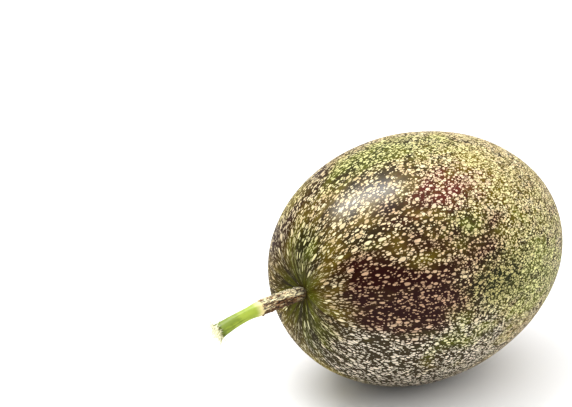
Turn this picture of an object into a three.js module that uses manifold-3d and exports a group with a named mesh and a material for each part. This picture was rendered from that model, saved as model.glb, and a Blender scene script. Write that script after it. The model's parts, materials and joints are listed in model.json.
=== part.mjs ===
// A passion fruit as picked, lying on its side, with the stub of its stalk.
// Millimetres, +Z up. The origin is on the small flat spot that the fruit rests on, under the
// middle of the fruit. +X runs along the fruit's long axis, from the stem end to the blossom end.

import * as THREE from "three";
import { mergeVertices } from "three/addons/utils/BufferGeometryUtils.js";
import Module from "manifold-3d";

// The rind: a long round body, a little fuller towards the stem
const EQUATOR_RADIUS = 31;
const HALF_LENGTH = 40.3;
const STEM_FULLNESS = 0.035;
const FLAT_DEPTH = 0.6;

// The rind is slightly oval and three-lobed round its axis: shares of the radius, angles in degrees
const OVAL = { share: -0.0225, sides: 2, angle: 19 };
const LOBES = { share: 0.0115, sides: 3, angle: 25 };

// The stem end is blunt, with a narrow pit that the stalk stands in and folds that run out of it
const STEM_DIMPLE = { depth: 3.9, width: 9 };
const STEM_PIT = { depth: 0.7, width: 2.8 };
const STEM_FOLDS = { depth: 0.16, count: 9, uneven: 0.8, radius: 4.2, width: 2.4 };

// The blossom end has a shallow ring with the scar of the flower's style in it
const BLOSSOM_RING = { depth: 0.45, width: 4 };
const STYLE_SCAR = { height: 0.75, width: 1.1 };

// The dry part of the stalk, grey-brown and ribbed, from the pit to the joint
const DRY_LENGTH = 12.7;
const DRY_FOOT_RADIUS = 1.75;
const DRY_END_RADIUS = 1.95;
const DRY_FOOT_TAPER = { share: 0.35, length: 0.07 };
const DRY_DROOP = 0.5;
const DRY_RIBS = { count: 7, depth: 0.13, twist: 0.7 };
const DRY_CLEFT = { depth: 0.3, angle: -140, width: 22 };
const DRY_KNOTS = { count: 5, starts: 3, depth: 0.05 };

// The green part of the stalk, with a collar at the joint and a wider cut end
const GREEN_RUN = 10.6;
const GREEN_DROP = 2.85;
const GREEN_SAG = 0.35;
const GREEN_RADIUS = 1.45;
const GREEN_COLLAR = { swell: 0.22, place: 0.08, width: 0.13 };
const GREEN_END_SWELL = 0.28;
const GREEN_RIBS = { count: 6, depth: 0.025 };

// The torn end: a pad of pale pith with loose fibres
const PITH_RADIUS = 1.5;
const PITH_THICKNESS = 0.8;
const FIBRE_COUNT = 18;
const FIBRE_LENGTH = { least: 1.3, most: 2.9 };
const FIBRE_RADIUS = 0.3;
const FIBRE_SPREAD = 1.1;
const FIBRE_SEED = 20;

// Clearance between pieces that touch, and how finely each is divided
const GAP = 0.3;
const RIND_DIVISIONS = { around: 72, along: 44 };
const POLE_CROWDING = 0.6;
const STALK_DIVISIONS = { around: 35, along: 22 };
const GREEN_DIVISIONS = { around: 24, along: 20 };
const FIBRE_SIDES = 5;

// Colours and finish
const RIND = { color: 0x75663c, roughness: 0.38, metalness: 0 };
const DRY_BARK = { color: 0xa98f5e, roughness: 0.9, metalness: 0 };
const GREEN_STEM = { color: 0x9dbb45, roughness: 0.5, metalness: 0 };
const PALE_PITH = { color: 0xe9e6c9, roughness: 0.85, metalness: 0 };

const wasm = await Module();
wasm.setup();

function radians(degrees) {
  return (degrees * Math.PI) / 180;
}

function bell(distance, width) {
  return Math.exp(-((distance / width) ** 2));
}

// Repeatable draws between 0 and 1
function seededDraw(seed) {
  let state = seed;
  return () => {
    state = (state * 1103515245 + 12345) % 2147483648;
    return state / 2147483648;
  };
}

// A geometry with only its shared corners left, as joining and cutting need it
function weld(geometry) {
  const bare = geometry.clone();
  bare.deleteAttribute("normal");
  bare.deleteAttribute("uv");
  return mergeVertices(bare);
}

function toSolid(geometry) {
  const welded = weld(geometry);
  const vertProperties = new Float32Array(welded.attributes.position.array);
  const triVerts = new Uint32Array(welded.index.array);
  return new wasm.Manifold(new wasm.Mesh({ numProp: 3, vertProperties, triVerts }));
}

function fromSolid(solid) {
  const { vertProperties, triVerts } = solid.getMesh();
  const geometry = new THREE.BufferGeometry();
  geometry.setAttribute("position", new THREE.BufferAttribute(vertProperties, 3));
  geometry.setIndex(new THREE.BufferAttribute(triVerts, 1));
  return geometry;
}

// Moves every corner of a geometry to the place that a function gives it
function reshape(geometry, place) {
  const corners = geometry.attributes.position;
  const corner = new THREE.Vector3();
  for (let i = 0; i < corners.count; i += 1) {
    const moved = place(corner.fromBufferAttribute(corners, i));
    corners.setXYZ(i, moved.x, moved.y, moved.z);
  }
  return geometry;
}

function named(name, geometry, finish) {
  geometry.computeVertexNormals();
  const mesh = new THREE.Mesh(geometry, new THREE.MeshStandardMaterial(finish));
  mesh.name = name;
  return mesh;
}

function roundness(angle, { share, sides, angle: crest }) {
  return share * Math.cos(sides * (angle - radians(crest)));
}

// How far the relief of the stem end moves the rind along the axis, at a distance from the axis
function stemRelief(distance, angle) {
  const dimple = STEM_DIMPLE.depth * bell(distance, STEM_DIMPLE.width);
  const pit = STEM_PIT.depth * bell(distance, STEM_PIT.width);
  const crease = Math.cos(STEM_FOLDS.count * angle + STEM_FOLDS.uneven * Math.sin(2 * angle));
  const folds = STEM_FOLDS.depth * crease * bell(distance - STEM_FOLDS.radius, STEM_FOLDS.width);
  return dimple + pit + folds;
}

function blossomRelief(distance) {
  const ring = BLOSSOM_RING.depth * bell(distance, BLOSSOM_RING.width);
  return STYLE_SCAR.height * bell(distance, STYLE_SCAR.width) - ring;
}

// The rind's surface: polar is the angle from the stem pole, angle goes round the axis
function rindPoint(polar, angle) {
  const towardStem = Math.cos(polar);
  const distance = EQUATOR_RADIUS * Math.sin(polar) * (1 + STEM_FULLNESS * towardStem);
  const relief = towardStem > 0 ? stemRelief(distance, angle) : blossomRelief(distance);
  const section = roundness(angle, OVAL) + roundness(angle, LOBES);
  const radius = distance * (1 + Math.sin(polar) ** 2 * section);
  return new THREE.Vector3(
    relief - HALF_LENGTH * towardStem,
    radius * Math.cos(angle),
    radius * Math.sin(angle),
  );
}

// A sphere with its poles on the long axis and its rows closer together near them
function rindSurface() {
  const sphere = new THREE.SphereGeometry(1, RIND_DIVISIONS.around, RIND_DIVISIONS.along);
  sphere.rotateZ(Math.PI / 2);
  return reshape(sphere, ({ x, y, z }) => {
    const even = Math.acos(THREE.MathUtils.clamp(-x, -1, 1));
    const polar = even - (POLE_CROWDING / 2) * Math.sin(2 * even);
    return rindPoint(polar, Math.atan2(z, y));
  });
}

const rind = rindSurface();
rind.computeBoundingBox();
const AXIS_HEIGHT = -rind.boundingBox.min.z - FLAT_DEPTH;
const STEM_POLE = rindPoint(0, 0).x;

// What the fruit rests on is cut flat
function fruit() {
  rind.translate(0, 0, AXIS_HEIGHT);
  const below = new THREE.BoxGeometry(4 * HALF_LENGTH, 4 * HALF_LENGTH, EQUATOR_RADIUS);
  below.translate(0, 0, -EQUATOR_RADIUS / 2);
  return named("fruit", fromSolid(toSolid(rind).subtract(toSolid(below))), RIND);
}

// A closed rod along a curve that lies upright in the XZ plane; radius is a function of the place
// along the rod, from 0 to 1, and of the angle round it, from the side (+Y) upwards
function rod(curve, divisions, radius) {
  const round = new THREE.CylinderGeometry(1, 1, 1, divisions.around, divisions.along);
  const side = new THREE.Vector3(0, 1, 0);
  return reshape(round, ({ x, y, z }) => {
    const along = THREE.MathUtils.clamp(y + 0.5, 0, 1);
    const tangent = curve.getTangent(along);
    const up = side.clone().cross(tangent);
    const angle = Math.atan2(z, x);
    const reach = Math.min(1, Math.hypot(x, z)) * radius(along, angle);
    return curve
      .getPoint(along)
      .addScaledVector(side, reach * Math.cos(angle))
      .addScaledVector(up, reach * Math.sin(angle));
  });
}

const DRY_START = new THREE.Vector3(STEM_POLE - GAP, 0, AXIS_HEIGHT);
const DRY_END = DRY_START.clone().add(new THREE.Vector3(-DRY_LENGTH, 0, -DRY_DROOP));

// Ribs run along the dry stalk and wind round it a little, and one cleft is deeper than the rest
function dryRadius(along, angle) {
  const taper = DRY_FOOT_TAPER.share * bell(along, DRY_FOOT_TAPER.length);
  const plain = THREE.MathUtils.lerp(DRY_FOOT_RADIUS, DRY_END_RADIUS, along) * (1 - taper);
  const wound = angle + DRY_RIBS.twist * along;
  const ribs = DRY_RIBS.depth * (Math.abs(Math.sin((DRY_RIBS.count * wound) / 2)) - 0.5);
  const fromCleft = wound - radians(DRY_CLEFT.angle);
  const nearest = Math.atan2(Math.sin(fromCleft), Math.cos(fromCleft));
  const cleft = DRY_CLEFT.depth * bell(nearest, radians(DRY_CLEFT.width)) * Math.sin(Math.PI * along);
  const knots = Math.sin(2 * Math.PI * DRY_KNOTS.count * along + DRY_KNOTS.starts * angle);
  return plain * (1 + ribs - cleft + DRY_KNOTS.depth * knots);
}

function dryStalk() {
  const bend = DRY_START.clone().lerp(DRY_END, 0.5);
  bend.z = DRY_START.z;
  const curve = new THREE.QuadraticBezierCurve3(DRY_START, bend, DRY_END);
  return named("dry_stalk", weld(rod(curve, STALK_DIVISIONS, dryRadius)), DRY_BARK);
}

const JOINT = DRY_END.clone().add(new THREE.Vector3(-GAP, 0, 0));
const CUT = JOINT.clone().add(new THREE.Vector3(-GREEN_RUN, 0, -GREEN_DROP));

function greenCurve() {
  const bend = JOINT.clone().lerp(CUT, 0.5);
  bend.z += 2 * GREEN_SAG;
  return new THREE.QuadraticBezierCurve3(JOINT, bend, CUT);
}

function greenRadius(along, angle) {
  const collar = GREEN_COLLAR.swell * bell(along - GREEN_COLLAR.place, GREEN_COLLAR.width);
  const flare = GREEN_END_SWELL * along ** 3;
  const ribs = GREEN_RIBS.depth * Math.cos(GREEN_RIBS.count * angle);
  return GREEN_RADIUS * (1 + collar + flare + ribs);
}

function greenStalk() {
  return named("green_stalk", weld(rod(greenCurve(), GREEN_DIVISIONS, greenRadius)), GREEN_STEM);
}

// A slim cone from inside the pith outwards, leaning by a draw away from the stalk's line
function fibre(draw, outward) {
  const length = THREE.MathUtils.lerp(FIBRE_LENGTH.least, FIBRE_LENGTH.most, draw());
  const lean = (2 * draw() - 1) * FIBRE_SPREAD;
  const turn = draw() * Math.PI;
  const offset = draw() * (PITH_RADIUS - 2 * FIBRE_RADIUS) * Math.sign(lean);
  const cone = new THREE.ConeGeometry(FIBRE_RADIUS, length, FIBRE_SIDES);
  cone.translate(0, length / 2, 0);
  cone.rotateZ(-lean);
  cone.translate(offset, 0, 0);
  cone.rotateY(turn);
  const facing = new THREE.Quaternion().setFromUnitVectors(new THREE.Vector3(0, 1, 0), outward);
  return cone.applyQuaternion(facing);
}

function tornEnd() {
  const outward = greenCurve().getTangent(1);
  const draw = seededDraw(FIBRE_SEED);
  const pith = new THREE.CylinderGeometry(PITH_RADIUS, PITH_RADIUS, PITH_THICKNESS, GREEN_DIVISIONS.around);
  pith.applyQuaternion(new THREE.Quaternion().setFromUnitVectors(new THREE.Vector3(0, 1, 0), outward));
  let solid = toSolid(pith);
  for (let i = 0; i < FIBRE_COUNT; i += 1) {
    solid = solid.add(toSolid(fibre(draw, outward)));
  }
  const end = fromSolid(solid);
  const middle = CUT.clone().addScaledVector(outward, GAP + PITH_THICKNESS / 2);
  end.translate(middle.x, middle.y, middle.z);
  return named("torn_end", end, PALE_PITH);
}

const passionFruit = new THREE.Group();
passionFruit.add(fruit(), dryStalk(), greenStalk(), tornEnd());

export default passionFruit;
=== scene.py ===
"""A passion fruit as picked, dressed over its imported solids.

The rind, the two stretches of the stalk and its torn end are modelled finely in the place of their
solids, given their finishes, and shown on a pale studio floor. Metres, +Z up, +X from the stem end to
the blossom end.
"""

import json
import logging
import math
import random
from contextlib import contextmanager
from dataclasses import dataclass, field
from enum import Enum
from typing import Callable, Iterator, Sequence

import bmesh
import bpy
import numpy as np
from mathutils import Matrix, Vector, noise

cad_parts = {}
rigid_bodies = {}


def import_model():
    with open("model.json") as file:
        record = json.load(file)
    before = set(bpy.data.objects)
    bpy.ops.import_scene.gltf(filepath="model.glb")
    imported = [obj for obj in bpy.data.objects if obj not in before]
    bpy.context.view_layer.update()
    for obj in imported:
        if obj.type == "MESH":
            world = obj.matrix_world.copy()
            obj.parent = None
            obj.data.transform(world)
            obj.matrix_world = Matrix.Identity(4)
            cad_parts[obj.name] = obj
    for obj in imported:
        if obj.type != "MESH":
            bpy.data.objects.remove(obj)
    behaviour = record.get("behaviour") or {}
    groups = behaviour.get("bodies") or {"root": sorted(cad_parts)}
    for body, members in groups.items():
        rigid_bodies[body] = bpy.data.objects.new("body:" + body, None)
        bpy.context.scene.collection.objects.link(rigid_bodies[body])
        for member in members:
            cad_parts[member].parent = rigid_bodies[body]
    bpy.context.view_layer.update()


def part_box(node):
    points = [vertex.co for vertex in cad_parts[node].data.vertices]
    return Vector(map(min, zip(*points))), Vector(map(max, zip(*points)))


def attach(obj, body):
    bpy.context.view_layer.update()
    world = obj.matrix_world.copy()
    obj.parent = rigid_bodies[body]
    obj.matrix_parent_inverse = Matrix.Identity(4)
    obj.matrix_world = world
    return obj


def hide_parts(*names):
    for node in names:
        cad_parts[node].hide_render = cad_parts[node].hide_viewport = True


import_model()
BODY = "root"
MM = 0.001
LOG = logging.getLogger("passion_fruit")

# Corners closer together than this are at one place.
TOUCHING = 1e-6
# How far the middle of the stalk's foot stands off the bottom of the pit, so that its rim alone is set in.
PIT_GAP = 0.1 * MM
# How far the green stalk reaches into the end of the bark.
JOINT_OVERLAP = 0.3 * MM
# A reach, in degrees, that carries a patch evenly all round the fruit.
ALL_ROUND = 1000.0

Colour = tuple[float, float, float, float]
Pair = tuple[float, float]
Triple = tuple[float, float, float]
Numbers = np.ndarray | float
Piece = bpy.types.Object
Socket = bpy.types.NodeSocket
Feed = Socket | float | Sequence[float]
Surface = Callable[[float, float], Triple]


def linear(value: int) -> float:
    """Gives one part of a screen colour, 0 to 255, in linear units, by the standard curve of screens."""
    share = value / 255
    return share / 12.92 if share <= 0.04045 else ((share + 0.055) / 1.055) ** 2.4


def screen_colour(red: int, green: int, blue: int) -> Colour:
    """Gives a colour that a screen shows, each part 0 to 255, in the shader's own linear units."""
    return linear(red), linear(green), linear(blue), 1.0


def bell(distance: Numbers, width: float) -> Numbers:
    """Falls smoothly from 1 at no distance to nothing beyond about two widths."""
    return np.exp(-((distance / width) ** 2))


def ease(value: Numbers, low: float, high: float) -> Numbers:
    """Rises smoothly from 0 at low to 1 at high."""
    share = np.clip((value - low) / (high - low), 0.0, 1.0)
    return share * share * (3 - 2 * share)


def turned_from(angle: np.ndarray, degrees: float) -> np.ndarray:
    """Gives how far each angle is turned from a direction, in degrees, by the shorter way."""
    return (np.degrees(angle) - degrees + 180) % 360 - 180


def added_up(steps: np.ndarray) -> np.ndarray:
    """Adds steps up along the way, from nothing."""
    return np.concatenate([[0], np.cumsum(steps)])


def on_tube(along: float, radius: float, turn: float) -> Vector:
    """Gives the place where a stalk reads its noise: how far along, and where round a circle."""
    return Vector((along, radius * math.cos(turn), radius * math.sin(turn)))


def clear_selection() -> None:
    """Leaves nothing selected, the carried-over solids included."""
    for item in bpy.context.view_layer.objects:
        item.select_set(False)


def make_active(piece: Piece) -> None:
    """Selects one piece alone and makes it the active one.

    Args:
        piece: The piece that the next operators act on.
    """
    clear_selection()
    piece.select_set(True)
    bpy.context.view_layer.objects.active = piece


def new_piece(name: str) -> Piece:
    """Names the primitive that was just added, and settles its turn and place into its mesh.

    Args:
        name: The piece's name, which its mesh gets too.

    Returns:
        The piece, which is the active object.
    """
    piece = bpy.context.active_object
    make_active(piece)
    piece.name = name
    piece.data.name = name
    bpy.ops.object.transform_apply(location=True, rotation=True, scale=True)
    return piece


@contextmanager
def editing(piece: Piece, mode: str = "VERT") -> Iterator[bmesh.types.BMesh]:
    """Opens a piece in edit mode with nothing selected.

    Args:
        piece: The piece to edit.
        mode: What is selected: VERT, EDGE or FACE.

    Yields:
        The mesh in edit mode.
    """
    make_active(piece)
    bpy.ops.object.mode_set(mode="EDIT")
    bpy.ops.mesh.select_mode(type=mode)
    bpy.ops.mesh.select_all(action="DESELECT")
    try:
        yield bmesh.from_edit_mesh(piece.data)
    finally:
        bpy.ops.object.mode_set(mode="OBJECT")


def pick(opened: bmesh.types.BMesh, chosen: Sequence[bmesh.types.BMVert]) -> None:
    """Selects only the given corners of a mesh in edit mode.

    Args:
        opened: The mesh in edit mode.
        chosen: The corners to select.
    """
    bpy.ops.mesh.select_all(action="DESELECT")
    for corner in chosen:
        corner.select_set(True)
    opened.select_flush(True)


def corners_of(piece: Piece) -> np.ndarray:
    """Reads every corner of a piece's mesh.

    Args:
        piece: The piece to read.

    Returns:
        One row of three numbers for each corner.
    """
    flat = np.empty(len(piece.data.vertices) * 3)
    piece.data.vertices.foreach_get("co", flat)
    return flat.reshape(-1, 3)


def set_corners(piece: Piece, corners: np.ndarray) -> None:
    """Moves every corner of a piece's mesh to its row of the array."""
    piece.data.vertices.foreach_set("co", corners.ravel())
    piece.data.update()


def store(piece: Piece, name: str, values: np.ndarray) -> None:
    """Keeps a number or a vector for each corner, for the piece's material to read.

    Args:
        piece: The piece whose mesh keeps them.
        name: The attribute's name.
        values: One number, or one row of three, for each corner.
    """
    kind, key = ("FLOAT_VECTOR", "vector") if values.ndim == 2 else ("FLOAT", "value")
    attribute = piece.data.attributes.new(name, kind, "POINT")
    attribute.data.foreach_set(key, values.astype(np.float32).ravel())


def smooth_finely(piece: Piece, levels: int) -> None:
    """Divides a piece by a subdivision surface and applies it.

    Args:
        piece: The piece to divide.
        levels: How many times each face is divided.
    """
    make_active(piece)
    finer = piece.modifiers.new("Finer", "SUBSURF")
    finer.levels = levels
    finer.render_levels = levels
    bpy.ops.object.modifier_apply(modifier=finer.name)


def shade(piece: Piece, sharpest: float) -> None:
    """Shades a piece smooth, except over edges that turn by more than an angle in degrees."""
    make_active(piece)
    bpy.ops.object.shade_smooth_by_angle(angle=math.radians(sharpest))


def slice_up(piece: Piece, cuts: int) -> None:
    """Cuts a cylinder or cone that is one unit high along +Z into even slices.

    Args:
        piece: The cylinder or cone.
        cuts: How many cuts go across it.
    """
    with editing(piece, "EDGE") as opened:
        for edge in opened.edges:
            low, high = sorted(corner.co.z for corner in edge.verts)
            edge.select_set(high - low > 0.5)
        bpy.ops.mesh.subdivide(number_cuts=cuts)


def stand_in(piece: Piece, node: str, material: bpy.types.Material) -> None:
    """Puts a finished piece in the place of its solid.

    Args:
        piece: The finished piece.
        node: The solid that it replaces.
        material: The piece's finish.
    """
    piece.data.materials.clear()
    piece.data.materials.append(material)
    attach(piece, BODY)
    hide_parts(node)
    low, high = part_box(node)
    faces = len(piece.data.polygons)
    LOG.info("%s: %d faces, for solid %s of %s", piece.name, faces, node, (high - low) / MM)


@dataclass
class Graph:
    """Places and joins the nodes of one shader tree."""

    tree: bpy.types.NodeTree

    def add(self, kind: str, **settings: object) -> bpy.types.Node:
        """Adds one node.

        Args:
            kind: The node's type.
            settings: Values of the node's own properties.

        Returns:
            The node.
        """
        node = self.tree.nodes.new(kind)
        for key, value in settings.items():
            setattr(node, key, value)
        return node

    def feed(self, socket: Socket, value: Feed) -> None:
        """Links a socket to another one, or sets its own value.

        Args:
            socket: The input socket.
            value: The output socket to link, or a plain value.
        """
        if isinstance(value, bpy.types.NodeSocket):
            self.tree.links.new(value, socket)
        else:
            socket.default_value = value

    def fill(self, node: bpy.types.Node, values: dict[str | int, Feed]) -> bpy.types.Node:
        """Feeds several inputs of a node.

        Args:
            node: The node.
            values: A value or a socket for each input, by the input's name or number.

        Returns:
            The same node.
        """
        for key, value in values.items():
            self.feed(node.inputs[key], value)
        return node

    def math(self, operation: str, *values: Feed) -> Socket:
        """Joins numbers by one operation and gives the result's socket."""
        node = self.add("ShaderNodeMath", operation=operation)
        return self.fill(node, dict(enumerate(values))).outputs[0]

    def rest(self, share: Feed) -> Socket:
        """Gives what a share leaves of 1."""
        return self.math("SUBTRACT", 1.0, share)

    def vector(self, operation: str, first: Feed, second: Feed) -> Socket:
        """Joins two vectors, or a vector and a scale, by one operation.

        Args:
            operation: What is done with them.
            first: The first vector.
            second: The second vector, or the number to scale by.

        Returns:
            The result's socket, a number for DOT_PRODUCT and else a vector.
        """
        node = self.add("ShaderNodeVectorMath", operation=operation)
        self.fill(node, {0: first, (3 if operation == "SCALE" else 1): second})
        return node.outputs["Value" if operation == "DOT_PRODUCT" else "Vector"]

    def ease(self, value: Feed, low: Feed, high: Feed) -> Socket:
        """Gives a number that rises smoothly from 0 at low to 1 at high."""
        node = self.add("ShaderNodeMapRange", interpolation_type="SMOOTHSTEP")
        return self.fill(node, {"Value": value, "From Min": low, "From Max": high}).outputs["Result"]

    def between(self, share: Feed, first: Feed, second: Feed) -> Socket:
        """Gives a colour that runs from the first to the second by a share."""
        node = self.add("ShaderNodeMix", data_type="RGBA")
        return self.fill(node, {0: share, 6: first, 7: second}).outputs[2]

    def cloud(self, place: Socket, size: float, detail: float = 3.0, rough: float = 0.5) -> Socket:
        """Gives a soft random number over the surface.

        Args:
            place: The coordinates to read.
            size: How far apart its clouds are, in the coordinates' units.
            detail: How many finer clouds are laid over them.
            rough: How strong the finer clouds are.

        Returns:
            The socket, about 0.5 on average.
        """
        values = {"Vector": place, "Scale": 1 / size, "Detail": detail, "Roughness": rough}
        return self.fill(self.add("ShaderNodeTexNoise"), values).outputs[0]

    def ragged_cells(
        self, place: Socket, waves: float, detail: float, reach: float
    ) -> tuple[Socket, Socket, Socket]:
        """Divides the surface into cells with ragged borders, about one unit wide.

        Args:
            place: The coordinates to read, in cell widths.
            waves: How many waves of a border a cell has across it.
            detail: How many finer waves are laid over them.
            reach: How far the waves move a border, in cell widths.

        Returns:
            The distance from the cell's middle, the distance to its border and its random colour.
        """
        stir = self.fill(self.add("ShaderNodeTexNoise"), {"Vector": place, "Scale": waves, "Detail": detail})
        offset = self.vector("SCALE", self.vector("SUBTRACT", stir.outputs["Color"], (0.5, 0.5, 0.5)), reach)
        values = {"Vector": self.vector("ADD", place, offset), "Scale": 1.0}
        nearest = self.fill(self.add("ShaderNodeTexVoronoi", feature="F1"), values)
        border = self.fill(self.add("ShaderNodeTexVoronoi", feature="DISTANCE_TO_EDGE"), values)
        return nearest.outputs["Distance"], border.outputs["Distance"], nearest.outputs["Color"]

    def stored(self, name: str, output: str = "Fac") -> Socket:
        """Reads what the mesh keeps under a name: a number as Fac, or a vector as Vector."""
        node = self.add("ShaderNodeAttribute", attribute_name=name, attribute_type="GEOMETRY")
        return node.outputs[output]

    def parts(self, vector: Socket) -> tuple[Socket, ...]:
        """Splits a vector into its three numbers."""
        return tuple(self.fill(self.add("ShaderNodeSeparateXYZ"), {0: vector}).outputs)

    def drawn_out(self, place: Socket, stretch: Feed) -> Socket:
        """Draws a pattern out along the first direction of its coordinates.

        Args:
            place: The coordinates.
            stretch: How many times as long the pattern gets.

        Returns:
            The coordinates for the pattern to read.
        """
        along, side, up = self.parts(place)
        values = {0: self.math("DIVIDE", along, stretch), 1: side, 2: up}
        return self.fill(self.add("ShaderNodeCombineXYZ"), values).outputs[0]

    def use(self, group: bpy.types.NodeTree, **inputs: Feed) -> bpy.types.Node:
        """Places a node group, with a value or a socket for each of its named inputs."""
        return self.fill(self.add("ShaderNodeGroup", node_tree=group), inputs)

    def bump(self, height: Socket, depth: float, strength: float) -> Socket:
        """Turns a height over the surface into its normal."""
        values = {"Height": height, "Distance": depth, "Strength": strength}
        return self.fill(self.add("ShaderNodeBump"), values).outputs["Normal"]


def new_group(
    name: str, inputs: dict[str, str], outputs: dict[str, str]
) -> tuple[Graph, Callable[[str], Socket], bpy.types.Node]:
    """Opens a shader node group with named sockets.

    Args:
        name: The group's name.
        inputs: The kind of each named input.
        outputs: The kind of each named output.

    Returns:
        The group's graph, a way to its input sockets by name, and its output node.
    """
    tree = bpy.data.node_groups.new(name, "ShaderNodeTree")
    for side, sockets in (("INPUT", inputs), ("OUTPUT", outputs)):
        for label, kind in sockets.items():
            tree.interface.new_socket(name=label, in_out=side, socket_type="NodeSocket" + kind)
    graph = Graph(tree)
    entry = graph.add("NodeGroupInput")
    return graph, lambda label: entry.outputs[label], graph.add("NodeGroupOutput")


@dataclass(frozen=True)
class FleckScatter:
    """How ragged flecks lie in their cells, one to a cell at most; lengths are in cell widths."""

    raggedness: Triple = (1.6, 1.0, 0.5)
    least_reach: float = 0.55
    further_reach: float = 0.8
    halo: float = 0.14
    gap: Pair = (0.02, 0.05)
    faintest: float = 0.6

    def group(self) -> bpy.types.NodeTree:
        """Makes the group that scatters flecks of one size.

        Returns:
            A group that takes Place in millimetres, the Cell that one fleck has, the share of it that flecks
            Fill, the share of cells that have a fleck as Crowd and the softness of an Edge. It puts out a
            Mask, a wider Halo round each fleck and a random Tone for each fleck.
        """
        inputs = {"Place": "Vector", "Cell": "Float", "Fill": "Float", "Crowd": "Float", "Edge": "Float"}
        outputs = {"Mask": "Float", "Halo": "Float", "Tone": "Float"}
        graph, entry, out = new_group("Scattered flecks", inputs, outputs)
        cells = graph.vector("SCALE", entry("Place"), graph.math("DIVIDE", 1.0, entry("Cell")))
        distance, border, colour = graph.ragged_cells(cells, *self.raggedness)
        draw, tone, lot = graph.parts(colour)
        drawn = graph.math("MULTIPLY_ADD", draw, self.further_reach, self.least_reach)
        reach = graph.math("MULTIPLY", entry("Fill"), drawn)
        inner, outer = (graph.math(change, reach, entry("Edge")) for change in ("SUBTRACT", "ADD"))
        disc = graph.rest(graph.ease(distance, inner, outer))
        rims = [graph.math("ADD", rim, self.halo) for rim in (inner, outer)]
        wide = graph.rest(graph.ease(distance, *rims))
        narrow, soft = self.gap
        apart = graph.ease(border, narrow, graph.math("ADD", entry("Edge"), soft))
        present = graph.math("LESS_THAN", lot, entry("Crowd"))
        strength = graph.math("MULTIPLY_ADD", tone, 1 - self.faintest, self.faintest)
        weight = graph.math("MULTIPLY", present, strength)
        mask = graph.math("MULTIPLY", graph.math("MULTIPLY", disc, apart), weight)
        graph.fill(out, {"Mask": mask, "Halo": graph.math("MULTIPLY", wide, present), "Tone": tone})
        return graph.tree


def grain_group() -> bpy.types.NodeTree:
    """Makes the group that draws fine streaks along a stalk.

    Returns:
        A group that takes Place, the Width of a streak and its Stretch along the stalk, and puts out a
        Streak.
    """
    inputs = {"Place": "Vector", "Width": "Float", "Stretch": "Float"}
    graph, entry, out = new_group("Stalk grain", inputs, {"Streak": "Float"})
    drawn = graph.drawn_out(entry("Place"), entry("Stretch"))
    fine = graph.vector("SCALE", drawn, graph.math("DIVIDE", 1.0, entry("Width")))
    graph.fill(out, {"Streak": graph.cloud(fine, size=1.0, detail=3.0, rough=0.6)})
    return graph.tree


def new_material(name: str) -> tuple[bpy.types.Material, Graph, bpy.types.Node]:
    """Opens a material with one plain surface shader.

    Args:
        name: The material's name.

    Returns:
        The material, its graph and its surface shader.
    """
    material = bpy.data.materials.new(name)
    material.use_nodes = True
    return material, Graph(material.node_tree), material.node_tree.nodes["Principled BSDF"]


class Pigment(Enum):
    """The colours that lie in patches over the brownish ground of the rind, and the painted floor bounce of
    its underside.
    """

    MAROON = "maroon"
    YELLOW = "yellow"
    ROSE = "rose"
    GREEN = "green"
    # A painted floor bounce, not a pigment: a greyer ground with paler flecks on the underside.
    PAINTED_BOUNCE = "painted_bounce"
    MOSS = "moss"
    UMBER = "umber"


@dataclass(frozen=True)
class Patch:
    """A soft patch of one pigment: where it lies and how far it reaches, in degrees.

    polar is counted from the stem, and angle round the axis from the +Y side upwards. A patch with a
    negative amount takes its pigment out of the others.
    """

    pigment: Pigment
    polar: float
    angle: float
    along: float
    around: float
    amount: float

    def laid_on(self, polar: np.ndarray, angle: np.ndarray) -> np.ndarray:
        """Lays the patch on the rind.

        Args:
            polar: The angle of each place from the stem, in radians.
            angle: The angle of each place round the axis, in radians.

        Returns:
            How strong the patch is at each place.
        """
        away = ((np.degrees(polar) - self.polar) / self.along) ** 2
        round_it = (turned_from(angle, self.angle) / self.around) ** 2
        return self.amount * np.exp(-away - round_it)


@dataclass(frozen=True)
class DrawnPatches:
    """Patches that are drawn at random within spans of the same measures as a patch has."""

    count: int
    polar: Pair
    angle: Pair
    along: Pair
    around: Pair
    amount: Pair
    pigments: tuple[Pigment, ...] = (
        Pigment.MAROON, Pigment.UMBER, Pigment.GREEN, Pigment.MOSS, Pigment.YELLOW,
    )

    def drawn(self, draw: random.Random) -> tuple[Patch, ...]:
        """Draws the patches.

        Args:
            draw: The source of chance.

        Returns:
            The patches, in the order in which they were drawn.
        """
        spans = (self.polar, self.angle, self.along, self.around, self.amount)
        return tuple(
            Patch(draw.choice(self.pigments), *[draw.uniform(low, high) for low, high in spans])
            for _ in range(self.count)
        )


@dataclass(frozen=True)
class FleckLayer:
    """Flecks of one size: cell in millimetres, filled share of it, share of cells used, and edge blur."""

    cell: float
    fill: float
    crowd: float
    edge: float


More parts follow.
